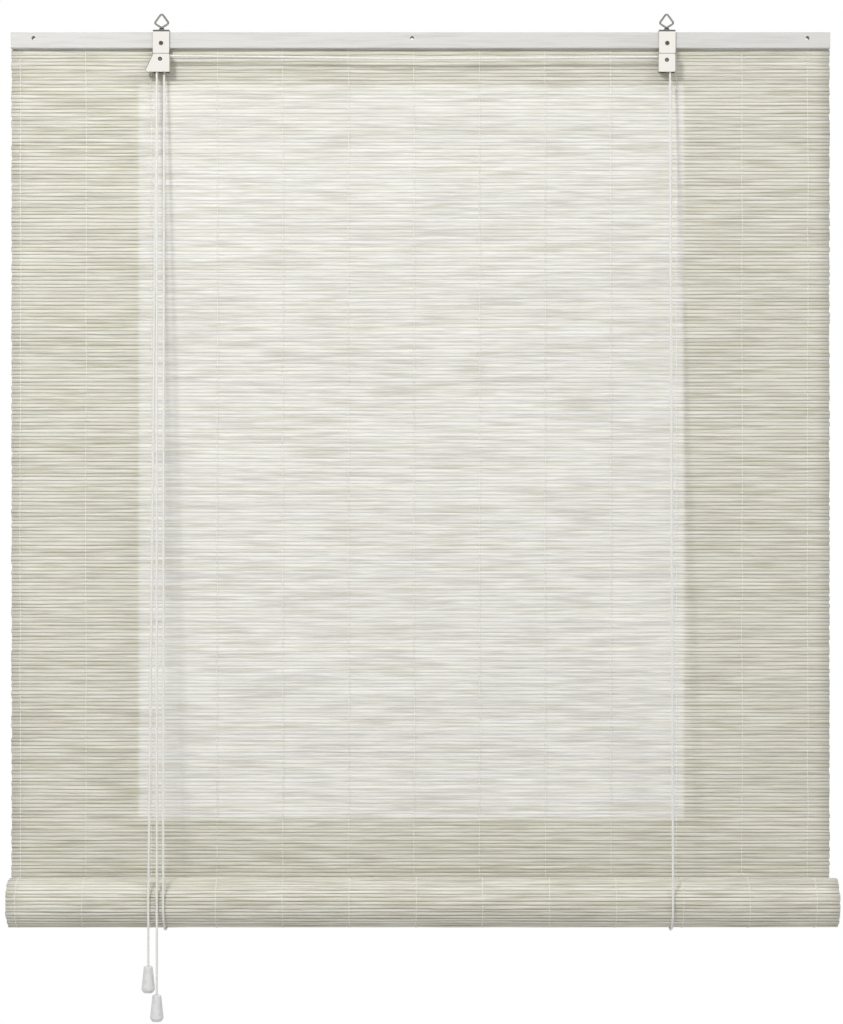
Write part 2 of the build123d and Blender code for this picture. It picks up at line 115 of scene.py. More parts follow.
def stretchedNoise(tree, coordinates, scale, detail):
    # noise on coordinates that are stretched by a scale of their own along each axis
    mapping = addNode(tree, "ShaderNodeMapping")
    mapping.inputs["Scale"].default_value = scale
    noise = addNode(tree, "ShaderNodeTexNoise")
    noise.inputs["Scale"].default_value = 1
    noise.inputs["Detail"].default_value = detail
    noise.inputs["Roughness"].default_value = noiseRoughness
    join(tree, coordinates, mapping.inputs["Vector"])
    join(tree, mapping.outputs["Vector"], noise.inputs["Vector"])
    return noise.outputs["Fac"]


def spreadOf(tree, value, low, high, toLow=0.0, toHigh=1.0):
    # a value between low and high taken smoothly to the range that is asked for
    node = addNode(tree, "ShaderNodeMapRange", interpolation_type="SMOOTHSTEP")
    node.inputs["From Min"].default_value = low
    node.inputs["From Max"].default_value = high
    node.inputs["To Min"].default_value = toLow
    node.inputs["To Max"].default_value = toHigh
    join(tree, value, node.inputs["Value"])
    return node.outputs["Result"]


def mixColours(tree, amount, first, second):
    # the first colour where the amount is 0 and the second where it is 1
    node = addNode(tree, "ShaderNodeMix", data_type="RGBA")
    join(tree, amount, node.inputs["Factor"])
    join(tree, first, node.inputs[6])
    join(tree, second, node.inputs[7])
    return node.outputs[2]


def mixShaders(tree, amount, first, second):
    # the material's surface: the first shader where the amount is 0 and the second where it is 1
    node = addNode(tree, "ShaderNodeMixShader")
    join(tree, amount, node.inputs["Fac"])
    join(tree, first, node.inputs[1])
    join(tree, second, node.inputs[2])
    join(tree, node.outputs["Shader"], tree.nodes["Material Output"].inputs["Surface"])


# whitewashed grain: bare wood under a thin white wash that lies in streaks along the slat
washGrain = {
    "fine": (24, 640, 640),
    "long": (15, 260, 260),
    "cloud": (5, 5, 7),
    "streakSpread": (0.42, 0.66),
    "bareSpread": (0.40, 0.70),
    "cloudSpread": (0.35, 0.7),
    "roughSpread": (0.3, 0.7, 0.72, 0.52),
    "wornShare": 0.5,
    "streakShare": 0.45,
    "cloudShare": 0.05,
}


def makeWashGroup():
    # wood under wash, by a share that streaks raise and bare patches lower, then pulled towards the shade
    group = bpy.data.node_groups.new("whitewashGrain", "ShaderNodeTree")
    face = group.interface
    face.new_socket("Wood", in_out="INPUT", socket_type="NodeSocketColor")
    face.new_socket("Wash", in_out="INPUT", socket_type="NodeSocketColor")
    face.new_socket("Shade", in_out="INPUT", socket_type="NodeSocketColor")
    face.new_socket("Tone", in_out="INPUT", socket_type="NodeSocketFloat")
    face.new_socket("Cover", in_out="INPUT", socket_type="NodeSocketFloat")
    face.new_socket("Color", in_out="OUTPUT", socket_type="NodeSocketColor")
    face.new_socket("Roughness", in_out="OUTPUT", socket_type="NodeSocketFloat")
    face.new_socket("Height", in_out="OUTPUT", socket_type="NodeSocketFloat")
    entry = addNode(group, "NodeGroupInput")
    leave = addNode(group, "NodeGroupOutput")
    place = addNode(group, "ShaderNodeTexCoord").outputs["Object"]

    fine = stretchedNoise(group, place, washGrain["fine"], 3)
    long = stretchedNoise(group, place, washGrain["long"], 2)
    cloud = stretchedNoise(group, place, washGrain["cloud"], 2)
    streak = spreadOf(group, fine, *washGrain["streakSpread"])
    bare = spreadOf(group, long, *washGrain["bareSpread"])

    # how much wash lies here: the asked cover, less where the long streaks are bare, more on a fine streak
    worn = combine(group, "MULTIPLY", bare, washGrain["wornShare"])
    cover = combine(group, "SUBTRACT", entry.outputs["Cover"], worn, clamp=True)
    lifted = combine(group, "MULTIPLY_ADD", streak, washGrain["streakShare"], cover, clamp=True)
    washed = mixColours(group, lifted, entry.outputs["Wood"], entry.outputs["Wash"])

    # slat by slat tone and broad clouds pull the colour towards the shade
    cloudy = spreadOf(group, cloud, *washGrain["cloudSpread"])
    depth = combine(group, "MULTIPLY_ADD", cloudy, washGrain["cloudShare"], entry.outputs["Tone"], clamp=True)
    toned = mixColours(group, depth, washed, entry.outputs["Shade"])
    join(group, toned, leave.inputs["Color"])
    join(group, spreadOf(group, fine, *washGrain["roughSpread"]), leave.inputs["Roughness"])
    join(group, fine, leave.inputs["Height"])
    return group


washGroup = makeWashGroup()


def newMaterial(name):
    # a material with its node tree and its Principled shader
    material = bpy.data.materials.new(name)
    material.use_nodes = True
    tree = material.node_tree
    return material, tree, tree.nodes["Principled BSDF"]


def addBump(tree, shader, height, strength, distance):
    # the height bends the shader's normal
    bump = addNode(tree, "ShaderNodeBump")
    bump.inputs["Strength"].default_value = strength
    bump.inputs["Distance"].default_value = distance
    join(tree, height, bump.inputs["Height"])
    join(tree, bump.outputs["Normal"], shader.inputs["Normal"])


woodFinish = {
    "slatWood": (0.56, 0.53, 0.41, 1),
    "slatWash": (0.93, 0.91, 0.81, 1),
    "slatShade": (0.53, 0.51, 0.41, 1),
    "slatCover": 0.68,
    "slatBump": 0.00012,
    # the split edges' colour, far darker than bare wood: painted shade in the grooves between slats
    "slatEdge": (0.23, 0.205, 0.14, 1),
    "slatEdgeShare": (0.42, 0.98),
    "patch": (26, 240, 240),
    "patchSpread": (0.32, 0.66),
    "slatGlow": (0.80, 0.80, 0.80, 1),
    "slatGlowShare": 0.15,
    "edgeGlowShare": 0.75,
    "edgeGlowFull": 0.6,
    "paintWood": (0.55, 0.54, 0.50, 1),
    "paintWash": (0.665, 0.66, 0.64, 1),
    "paintShade": (0.58, 0.58, 0.56, 1),
    "paintCover": 0.9,
    "paintBump": 0.0001,
    "bumpStrength": 0.5,
}


def makeWoodMaterial(name, kind, toneFromSlat):
    # the wash group with the colours of one kind, and on slats the slat's own tone and its split edges painted dark:
    # bare wood and painted shade in the grooves between slats
    material, tree, shader = newMaterial(name)
    grain = addNode(tree, "ShaderNodeGroup", node_tree=washGroup)
    for part in ("Wood", "Wash", "Shade", "Cover"):
        grain.inputs[part].default_value = woodFinish[kind + part]
    colour = grain.outputs["Color"]
    if toneFromSlat:
        tone = addNode(tree, "ShaderNodeAttribute", attribute_name="slatTone")
        join(tree, tone.outputs["Fac"], grain.inputs["Tone"])
        # the split edges between two slats are painted dark, partly bare wood that the wash misses and partly painted
        # shade in the grooves between slats, more in one place than in the next
        edge = addNode(tree, "ShaderNodeAttribute", attribute_name="slatEdge")
        place = addNode(tree, "ShaderNodeTexCoord").outputs["Object"]
        patch = stretchedNoise(tree, place, woodFinish["patch"], 2)
        patchy = spreadOf(tree, patch, *woodFinish["patchSpread"], *woodFinish["slatEdgeShare"])
        bareEdgeAndShade = combine(tree, "MULTIPLY", edge.outputs["Fac"], patchy)
        colour = mixColours(tree, bareEdgeAndShade, colour, woodFinish["slatEdge"])
    join(tree, colour, shader.inputs["Base Color"])
    join(tree, grain.outputs["Roughness"], shader.inputs["Roughness"])
    addBump(tree, shader, grain.outputs["Height"], woodFinish["bumpStrength"], woodFinish[kind + "Bump"])
    return material, tree, shader


slatMaterial, slatTree, slatShader = makeWoodMaterial("whitewashedSlat", "slat", True)
# thin slats let a little of the light behind them through, and more at their edges
glow = addNode(slatTree, "ShaderNodeBsdfTranslucent")
glow.inputs["Color"].default_value = woodFinish["slatGlow"]
slatEdge = addNode(slatTree, "ShaderNodeAttribute", attribute_name="slatEdge")
glowShare = spreadOf(slatTree, slatEdge.outputs["Fac"], 0, woodFinish["edgeGlowFull"],
                     woodFinish["slatGlowShare"], woodFinish["edgeGlowShare"])
mixShaders(slatTree, glowShare, slatShader.outputs["BSDF"], glow.outputs["BSDF"])

paintMaterial = makeWoodMaterial("whitePaintedLath", "paint", False)[0]

metalFinish = {
    "nickel": (0.90, 0.88, 0.82, 1),
    "wire": (0.52, 0.51, 0.48, 1),
    # rivets and axle heads are coloured dark as painted shade, standing in for the shade inside their bores
    "rivet": (0.22, 0.21, 0.19, 1),
    "smear": (220, 220, 60),
    "roughSpread": (0.3, 0.7, 0.08, 0.2),
    "bumpStrength": 0.25,
    "bump": 0.00005,
}


def makeMetalMaterial(name, colour):
    # bright metal whose smears change its roughness and its height a little
    material, tree, shader = newMaterial(name)
    shader.inputs["Base Color"].default_value = colour
    shader.inputs["Metallic"].default_value = 1
    place = addNode(tree, "ShaderNodeTexCoord").outputs["Object"]
    smear = stretchedNoise(tree, place, metalFinish["smear"], 4)
    join(tree, spreadOf(tree, smear, *metalFinish["roughSpread"]), shader.inputs["Roughness"])
    addBump(tree, shader, smear, metalFinish["bumpStrength"], metalFinish["bump"])
    return material


cordFinish = {
    "colour": (0.82, 0.82, 0.79, 1),
    "hollow": (0.60, 0.595, 0.56, 1),
    "frequency": 1500,
    "thread": (0.90, 0.89, 0.83, 1),
    "threadDark": (0.77, 0.75, 0.67, 1),
    "threadFrequency": 2200,
    "alongShare": 0.35,
    "fibreSpread": (0.25, 0.55),
    "roughness": 0.8,
    "sheen": 0.15,
    "bumpStrength": 0.5,
    "bump": 0.0001,
}


def makeFibreMaterial(name, light, dark, frequency):
    # fine fibres: noise stretched along the cord darkens and roughens the surface
    material, tree, shader = newMaterial(name)
    place = addNode(tree, "ShaderNodeTexCoord").outputs["Object"]
    fibre = stretchedNoise(tree, place, (frequency, frequency, frequency * cordFinish["alongShare"]), 3)
    colour = mixColours(tree, spreadOf(tree, fibre, *cordFinish["fibreSpread"]), dark, light)
    join(tree, colour, shader.inputs["Base Color"])
    shader.inputs["Roughness"].default_value = cordFinish["roughness"]
    shader.inputs["Sheen Weight"].default_value = cordFinish["sheen"]
    addBump(tree, shader, fibre, cordFinish["bumpStrength"], cordFinish["bump"])
    return material


plasticFinish = {
    "colour": (0.74, 0.74, 0.74, 1),
    "scuffed": (0.66, 0.66, 0.655, 1),
    "skin": (900, 900, 900),
    "scuff": (160, 160, 160),
    "scuffSpread": (0.45, 0.7),
    "roughSpread": (0.3, 0.7, 0.3, 0.45),
    "bumpStrength": 0.2,
    "bump": 0.00004,
}


def makePlasticMaterial():
    # moulded plastic with dull scuffs and a fine skin
    material, tree, shader = newMaterial("mouldedPlastic")
    place = addNode(tree, "ShaderNodeTexCoord").outputs["Object"]
    skin = stretchedNoise(tree, place, plasticFinish["skin"], 2)
    scuff = stretchedNoise(tree, place, plasticFinish["scuff"], 3)
    scuffShare = spreadOf(tree, scuff, *plasticFinish["scuffSpread"])
    colour = mixColours(tree, scuffShare, plasticFinish["colour"], plasticFinish["scuffed"])
    join(tree, colour, shader.inputs["Base Color"])
    join(tree, spreadOf(tree, scuff, *plasticFinish["roughSpread"]), shader.inputs["Roughness"])
    addBump(tree, shader, skin, plasticFinish["bumpStrength"], plasticFinish["bump"])
    return material


nickelMaterial = makeMetalMaterial("brightNickel", metalFinish["nickel"])
wireMaterial = makeMetalMaterial("steelWire", metalFinish["wire"])
# dark metal for rivets and axles: painted shade for their shaded bores
rivetShadeMaterial = makeMetalMaterial("rivetPaintedShade", metalFinish["rivet"])
cordMaterial = makeFibreMaterial("braidedCord", cordFinish["colour"], cordFinish["hollow"], cordFinish["frequency"])
threadMaterial = makeFibreMaterial("warpThread", cordFinish["thread"], cordFinish["threadDark"],
                                   cordFinish["threadFrequency"])
plasticMaterial = makePlasticMaterial()
print("materials made")


def dress(node, material):
    # a CAD node that is carried over keeps its shape and gets its finish
    slots = nodes[node].data.materials
    slots.clear()
    slots.append(material)


for node in ("front_lath", "back_lath", "bottom_lath"):
    dress(node, paintMaterial)
for side in ("left", "right"):
    dress("hanger_strap_" + side, nickelMaterial)
    dress("hanging_eye_" + side, wireMaterial)
    dress("strap_rivet_" + side, rivetShadeMaterial)
    dress("toggle_" + side, plasticMaterial)
for node in ("cord_lock_housing", "pulley_housing", "lock_sheave", "pulley_sheave", "lock_roller"):
    dress(node, nickelMaterial)
for node in ("lock_axle", "pulley_axle"):
    dress(node, rivetShadeMaterial)


def putMesh(name, grids, material, values=None):
    # each grid is tubes x stations x points round x 3: quads run round and along, and a face closes each end
    mesh = bpy.data.meshes.new(name)
    points, quads, caps, offset = [], [], [], 0
    for grid in grids:
        tubes, stations, sides = grid.shape[:3]
        index = offset + np.arange(tubes * stations * sides).reshape(tubes, stations, sides)
        after = np.roll(index, -1, axis=2)
        quads.append(np.stack([index[:, :-1], after[:, :-1], after[:, 1:], index[:, 1:]], -1).reshape(-1, 4))
        caps += index[:, 0, ::-1].tolist() + index[:, -1].tolist()
        points.append(grid.reshape(-1, 3))
        offset += tubes * stations * sides
    mesh.from_pydata(np.concatenate(points), [], np.concatenate(quads).tolist() + caps)
    quadCount = sum(len(block) for block in quads)
    mesh.polygons.foreach_set("use_smooth", np.arange(len(mesh.polygons)) < quadCount)
    for attribute, numbers in (values or {}).items():
        mesh.attributes.new(attribute, "FLOAT", "POINT").data.foreach_set("value", numbers)
    mesh.materials.append(material)
    mesh.update()
    piece = bpy.data.objects.new(name, mesh)
    scene.collection.objects.link(piece)
    return piece


def smoothChance(rows, stations, knots, reach):
    # random values at a few knots along each row; between two knots, three times the share squared less
    # twice its cube leads smoothly from one to the next
    raw = chance.uniform(-reach, reach, (rows, knots))
    at = np.linspace(0, knots - 1.001, stations)
    low = at.astype(int)
    share = at - low
    share = share * share * (3 - 2 * share)
    return raw[:, low] * (1 - share) + raw[:, low + 1] * share


slatShape = {
    "jitter": 0.00036,
    "longWander": 0.00030,
    "longKnots": 12,
    "shortWander": 0.00026,
    "shortKnots": 26,
    "overlap": 1.09,
    "overlapReach": 0.06,
    "overlapKnots": 18,
    "tilt": 0.085,
    "tiltRowShare": 0.25,
    "tiltKnots": 18,
    "sway": 0.00022,
    "swayRowShare": 0.6,
    "swayKnots": 12,
    "ragged": 0.0006,
    "matEdgeX": 0.44,
    "stations": 48,
    "edgeWithin": 0.6,
}
# the roll's slats get a lighter tone than the drop's: painted light for the light the roll catches from above and in
# front
slatTone = {"drop": 0.16, "roll": 0.06, "spread": 0.035, "most": 0.4, "darkShare": 0.05, "darker": 0.12}
# a slat's section, flat with split edges, as shares of its half thickness and half height
slatSection = np.array([(0.98, 0.72), (0.08, 0.97), (-0.50, 0.95), (-0.98, 0.70),
                        (-0.98, -0.70), (-0.50, -0.95), (0.08, -0.97), (0.98, -0.72)])


def slatSeams(rows, stations):
    # the wandering line where each slat meets the next, shared by both, so no light shows between them:
    # one random height for the whole row, plus a long and a short wander along it
    seams = chance.uniform(-1, 1, rows + 1)[:, None] * slatShape["jitter"]
    seams = seams + smoothChance(rows + 1, stations, slatShape["longKnots"], slatShape["longWander"])
    return seams + smoothChance(rows + 1, stations, slatShape["shortKnots"], slatShape["shortWander"])


def slatGrid(starts, ends, rowNumbers, seams, middles, outward):
    # a slat's surface: along x from start to end, and round a section that fills the space between its
    # two seams; its tilt and depth wander along the length; outward is its thin direction in y and z
    rows, stations = len(starts), seams.shape[1]
    x = starts[:, None] + (ends - starts)[:, None] * np.linspace(0, 1, stations)
    above, below = seams[rowNumbers], seams[rowNumbers + 1]
    overlap = slatShape["overlap"] + smoothChance(rows, stations, slatShape["overlapKnots"],
                                                  slatShape["overlapReach"])
    tall = (blind["slatPitch"] + above - below) / 2 * overlap
    wander = (above + below) / 2
    sway = chance.normal(0, slatShape["swayRowShare"], rows)[:, None] * slatShape["sway"]
    sway = sway + smoothChance(rows, stations, slatShape["swayKnots"], slatShape["sway"])
    tilt = chance.normal(0, slatShape["tiltRowShare"], rows)[:, None] * slatShape["tilt"]
    tilt = (tilt + smoothChance(rows, stations, slatShape["tiltKnots"], slatShape["tilt"]))[..., None]
    thick = slatSection[:, 0] * blind["slatThickness"] / 2
    high = slatSection[:, 1] * tall[..., None]
    out = sway[..., None] + thick * np.cos(tilt) - high * np.sin(tilt)
    up = wander[..., None] + thick * np.sin(tilt) + high * np.cos(tilt)
    y = middles[:, 0, None, None] + outward[:, 0, None, None] * out - outward[:, 1, None, None] * up
    z = middles[:, 1, None, None] + outward[:, 1, None, None] * out + outward[:, 0, None, None] * up
    return np.stack([np.broadcast_to(x[..., None], y.shape), y, z], -1)


def slatValues(grids, tones):
    # each point gets its slat's own tone, and 1 where the section is a split edge
    repeats = np.concatenate([np.full(len(grid), grid.shape[1] * grid.shape[2]) for grid in grids])
    points = repeats.sum() // len(slatSection)
    isEdge = (np.abs(slatSection[:, 0]) < slatShape["edgeWithin"]).astype(np.float32)
    return {"slatTone": np.repeat(tones, repeats).astype(np.float32), "slatEdge": np.tile(isEdge, points)}


def slatTones(rows, middle):
    # most slats are near the middle tone, a few are much darker
    base = np.clip(chance.normal(middle, slatTone["spread"], rows), 0, slatTone["most"])
    return np.where(chance.random(rows) < slatTone["darkShare"], base + slatTone["darker"], base)


# rows of the drop; those inside the headrail stop short of its screw and rivet holes
holes = {"xs": (-0.425, -0.2847, -0.0093, 0.2708, 0.425), "clearance": 0.0025, "rows": (1, 2, 3)}
holeXs = np.array(holes["xs"])
dropRows = round(blind["dropLength"] / blind["slatPitch"])
half = blind["width"] / 2
rowList, startList, endList = [], [], []
for row in range(dropRows):
    pierced = row in holes["rows"]
    starts = np.append(-half, holeXs + holes["clearance"]) if pierced else np.array([-half])
    ends = np.append(holeXs - holes["clearance"], half) if pierced else np.array([half])
    rowList += [row] * len(starts)
    startList += starts.tolist()
    endList += ends.tolist()
rowArray, starts, ends = np.array(rowList), np.array(startList), np.array(endList)
# the ends at the mat's own edges are ragged
starts = np.where(starts < -slatShape["matEdgeX"],
                  starts + chance.uniform(-1, 1, len(starts)) * slatShape["ragged"], starts)
ends = np.where(ends > slatShape["matEdgeX"],
                ends + chance.uniform(-1, 1, len(ends)) * slatShape["ragged"], ends)
rowZ = blind["railTop"] - blind["slatPitch"] * (rowArray + 0.5)
middles = np.column_stack([np.full(len(rowZ), blind["matMiddleY"]), rowZ])
outward = np.tile([1.0, 0.0], (len(rowZ), 1))
dropGrid = slatGrid(starts, ends, rowArray, slatSeams(dropRows, slatShape["stations"]), middles, outward)
matSlats = putMesh("matSlats", [dropGrid], slatMaterial,
                   slatValues([dropGrid], slatTones(len(rowZ), slatTone["drop"])))
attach(matSlats, "headrail")
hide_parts("mat_drop")
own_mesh(matSlats)
print("drop slats made:", len(rowZ))

# the roll: slats laid on a spiral whose radius shrinks by one turn's pitch each turn
rollShape = {"outerRows": 48, "innerStations": 5, "endSway": 0.0012, "endSwayRate": 0.37}


def spiralPlace(length):
    # arc length to angle on r = r0 - k a, whose length is r0 a - k a a / 2
    start = blind["rollRadius"] - blind["slatThickness"] / 2
    shrink = blind["turnPitch"] / (2 * pi)
    angle = (start - np.sqrt(start ** 2 - 2 * shrink * length)) / shrink
    radius = start - shrink * angle
    middles = np.column_stack([blind["rollY"] + radius * np.cos(angle),
                               blind["rollZ"] - radius * np.sin(angle)])
    outward = np.column_stack([np.cos(angle), -np.sin(angle)])
    return middles, outward, angle


spiralAngle = 2 * pi * blind["turnCount"]
firstRadius = blind["rollRadius"] - blind["slatThickness"] / 2
spiralLength = firstRadius * spiralAngle - blind["turnPitch"] / (4 * pi) * spiralAngle ** 2
rollRows = int(spiralLength / blind["slatPitch"])
outerRows = rollShape["outerRows"]
innerRows = rollRows - outerRows
lengths = (np.arange(rollRows) + 0.5) * blind["slatPitch"]
middles, outward, angles = spiralPlace(lengths)
middleX = blind["rollShift"] + rollShape["endSway"] * np.sin(angles * rollShape["endSwayRate"])
rollStarts = middleX - half + chance.uniform(-1, 1, rollRows) * slatShape["ragged"]
rollEnds = middleX + half + chance.uniform(-1, 1, rollRows) * slatShape["ragged"]
# the turns that are seen have as many stations as the drop, the hidden ones a few
outerGrid = slatGrid(rollStarts[:outerRows], rollEnds[:outerRows], np.arange(outerRows),
                     slatSeams(outerRows, slatShape["stations"]), middles[:outerRows], outward[:outerRows])
innerGrid = slatGrid(rollStarts[outerRows:], rollEnds[outerRows:], np.arange(innerRows),
                     slatSeams(innerRows, rollShape["innerStations"]), middles[outerRows:], outward[outerRows:])
# the roll's slats take the lighter roll tone, which is painted light
rollSlats = putMesh("rollSlats", [outerGrid, innerGrid], slatMaterial,
                    slatValues([outerGrid, innerGrid], slatTones(rollRows, slatTone["roll"])))
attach(rollSlats, "roll")
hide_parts("mat_roll")
print("roll slats made:", rollRows)


def tubeGrid(lines, normal, radius):
    # lines are tubes x stations x 3; radius is one number or tubes x stations x points round: each point
    # is the line's own point plus the radius times the cosine sideways and the sine upward
    step = np.gradient(lines, axis=1)
    tangent = step / np.linalg.norm(step, axis=2, keepdims=True)
    sideways = normal - tangent * (tangent @ np.array(normal))[..., None]
    sideways /= np.linalg.norm(sideways, axis=2, keepdims=True)
    upward = np.cross(tangent, sideways)
    sides = radius.shape[-1]
    turn = np.arange(sides) * 2 * pi / sides
    return (lines[:, :, None] + sideways[:, :, None] * (np.cos(turn) * radius)[..., None]
            + upward[:, :, None] * (np.sin(turn) * radius)[..., None])


# warp threads: two strands on each line, one before a slat while the other is behind it
warp = {
    "count": 13,
    "pitch": 0.0722,
    "shift": -0.007,
    "radius": 0.00048,
    "sides": 4,
    "ringsPerSlat": 3,
    "bulge": 0.00114,
    "squareness": 0.7,
    "apart": 0.0003,
    "drift": 0.0006,
    "driftKnots": 20,
    "firstRow": 4,
    "rollRows": 50,
    "rollStart": 0.0001,
    "rollKnots": 8,
}
warpX = warp["shift"] + (np.arange(warp["count"]) - (warp["count"] - 1) / 2) * warp["pitch"]


def strandOffset(length, strand):
    # in and out once for each pair of slats: the cosine of the length over the slat pitch, made squarer
    wave = np.cos(pi * (length / blind["slatPitch"] - 0.5)) * (1 if strand else -1)
    return np.sign(wave) * np.abs(wave) ** warp["squareness"] * warp["bulge"]


def strandSide(length, strand):
    # the two strands swap sides at each slat: a sine of the length over the slat pitch
    return (warp["apart"] if strand else -warp["apart"]) * np.sin(pi * length / blind["slatPitch"])


threadRows = dropRows - warp["firstRow"]
threadStations = threadRows * warp["ringsPerSlat"] + 1
threadLength = np.linspace(0, threadRows * blind["slatPitch"], threadStations) + warp["firstRow"] * blind["slatPitch"]
drift = smoothChance(warp["count"], threadStations, warp["driftKnots"], warp["drift"])
strandLines = np.stack([
    np.stack([warpX[:, None] + drift + strandSide(threadLength, strand),
              np.broadcast_to(blind["matMiddleY"] + strandOffset(threadLength, strand), drift.shape),
              np.broadcast_to(blind["railTop"] - threadLength, drift.shape)], -1)
    for strand in (0, 1)]).reshape(-1, threadStations, 3)
threadRadius = np.full((1, 1, warp["sides"]), warp["radius"])
matThreads = putMesh("matThreads", [tubeGrid(strandLines, (1, 0, 0), threadRadius)], threadMaterial)
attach(matThreads, "headrail")
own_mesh(matThreads)

rollStations = warp["rollRows"] * warp["ringsPerSlat"] + 1
rollLength = np.linspace(warp["rollStart"], warp["rollRows"] * blind["slatPitch"], rollStations)
rollMiddle, rollOut = spiralPlace(rollLength)[:2]
rollLines = []
for strand in (0, 1):
    offset = strandOffset(rollLength, strand)
    place = rollMiddle + rollOut * offset[:, None]
    x = (warpX[:, None] + blind["rollShift"] + strandSide(rollLength, strand)
         + smoothChance(warp["count"], rollStations, warp["rollKnots"], warp["drift"]))
    y, z = (np.broadcast_to(place[:, axis], x.shape) for axis in (0, 1))
    rollLines.append(np.stack([x, y, z], -1))
rollThreads = putMesh("rollThreads", [tubeGrid(np.concatenate(rollLines), (1, 0, 0), threadRadius)],
                      threadMaterial)
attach(rollThreads, "roll")
print("warp threads made")

# cords: a three strand twist carried along a smooth spline through the cord's own points
cord = {
    "radius": 0.0013,
    "lay": 0.0078,
    "strands": 3,
    "depth": 0.34,
    "lobePower": 0.8,
    "sides": 12,
    "step": 0.0006,
    "fewestPoints": 8,
}
knotShape = {
    "radius": 0.0027,
    "length": 0.0036,
    "rings": 22,
    "tip": 0.04,
    "sides": 16,
    "girth": 0.93,
    "taper": 0.7,
    "wrapDepth": 0.10,
    "wraps": 3,
    "wrapTwist": 2.2,
    "wrapLobes": 2,
}
lock = {"axleX": -0.285, "axleZ": -0.0246, "turn": 0.00385, "exitZ": -0.04, "straight": 0.004}
pulley = {"axleX": 0.2697, "axleZ": -0.0257}
# the right cord's way along the rail, from the pulley to the lock, in x and z
railWay = [[0.259, -0.0220], [0.12, -0.02325], [-0.0076, -0.02445], [-0.13, -0.0225], [-0.274, -0.02085]]
runs = {
    "topZ": -0.0401,
    "backY": -0.0034,
    "frontY": -0.0622,
    "bightRadius": 0.0294,
    "bightCorners": 8,
    "overRoll": 0.03,
    "anchorZ": -0.0185,
    "endBend": 0.0032,
    "strapY": 0.0012,
    "endReach": 0.001,
    "knotReach": 0.0018,
    "stubMiddle": 0.01,
    "recessDepth": 0.0194,
    "gap": 0.0001,
    "cordX": {"left": -0.2774, "right": 0.2723},
    "anchorX": {"left": -0.2817, "right": 0.2723},
    "pullX": {"left": -0.2934, "right": -0.2842},
    "grooveY": {"left": -0.0155, "right": -0.0189},
    "toggleTop": {"left": -1.01, "right": -1.041},
}


def splineLine(points):
    # the smooth line of a NURBS spline, read back from Blender
    curve = bpy.data.curves.new("cordRoute", "CURVE")
    curve.dimensions = "3D"
    curve.resolution_u = 32
    spline = curve.splines.new("NURBS")
    spline.points.add(len(points) - 1)
    spline.points.foreach_set("co", np.column_stack([points, np.ones(len(points))]).ravel())
    spline.order_u = 3
    spline.use_endpoint_u = True
    holder = bpy.data.objects.new("cordRoute", curve)
    scene.collection.objects.link(holder)
    mesh = bpy.data.meshes.new_from_object(holder)
    line = np.empty(len(mesh.vertices) * 3)
    mesh.vertices.foreach_get("co", line)
    bpy.data.objects.remove(holder)
    bpy.data.curves.remove(curve)
    bpy.data.meshes.remove(mesh)
    return line.reshape(-1, 3)


def turnPoints(centre, radius, start, sweep, count):
    # corners of the polygon that touches the arc at the middle of each side, in the plane's own two axes
    angles = start + sweep * (np.arange(count) + 0.5) / count
    reach = radius / np.cos(sweep / count / 2)
    return np.column_stack([centre[0] + reach * np.cos(angles), centre[1] + reach * np.sin(angles)])


def evenLine(points):
    # the smooth line cut into equal steps, with the length run at each of them
    line = splineLine(points)
    run = np.append(0, np.cumsum(np.linalg.norm(np.diff(line, axis=0), axis=1)))
    even = np.linspace(0, run[-1], max(int(run[-1] / cord["step"]), cord["fewestPoints"]))
    return np.column_stack([np.interp(even, run, line[:, axis]) for axis in range(3)]), even


def cordGrid(points, normal):
    # the section has one lobe for each strand, and turns once in each lay length
    line, even = evenLine(points)
    turn = np.arange(cord["sides"]) * 2 * pi / cord["sides"]
    lobe = np.abs(np.sin(cord["strands"] / 2 * (turn - even[:, None] * 2 * pi / cord["lay"])))
    radius = cord["radius"] * (1 - cord["depth"] + cord["depth"] * lobe ** cord["lobePower"])
    return tubeGrid(line[None], normal, radius[None]), line


def knotGrid(middle, axis, normal):
    # a knot: a long ball, as wide as the sine along its length, that swells where the cord wraps round it
    share = np.linspace(knotShape["tip"], pi - knotShape["tip"], knotShape["rings"])
    axis = np.array(axis, float)
    line = np.array(middle) - axis * (knotShape["length"] / 2 * np.cos(share))[:, None]
    turn = np.arange(knotShape["sides"]) * 2 * pi / knotShape["sides"]
    phase = knotShape["wraps"] * share[:, None] * knotShape["wrapTwist"] + turn * knotShape["wrapLobes"]
    wrap = 1 + knotShape["wrapDepth"] * np.cos(phase)
    girth = knotShape["radius"] * knotShape["girth"] * np.sin(share)[:, None] ** knotShape["taper"] * wrap
    return tubeGrid(line[None], normal, girth[None])


def cordPiece(name, node, points, normal, knots=()):
    # one run of cord with its knots, in place of its CAD node, and the line that it follows
    grid, line = cordGrid(np.array(points, float), normal)
    piece = putMesh(name, [grid, *knots], cordMaterial)
    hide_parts(node)
    return piece, line


def inPlaneY(pairs, y):
    # pairs of x and z at one y
    return np.column_stack([pairs[:, 0], np.full(len(pairs), y), pairs[:, 1]])


def inPlaneX(pairs, x):
    # pairs of y and z at one x
    return np.column_stack([np.full(len(pairs), x), pairs])


def towards(start, end, distance):
    # the point that lies the given distance along the straight line from start to end
    return start + (end - start) * distance / np.linalg.norm(end - start)


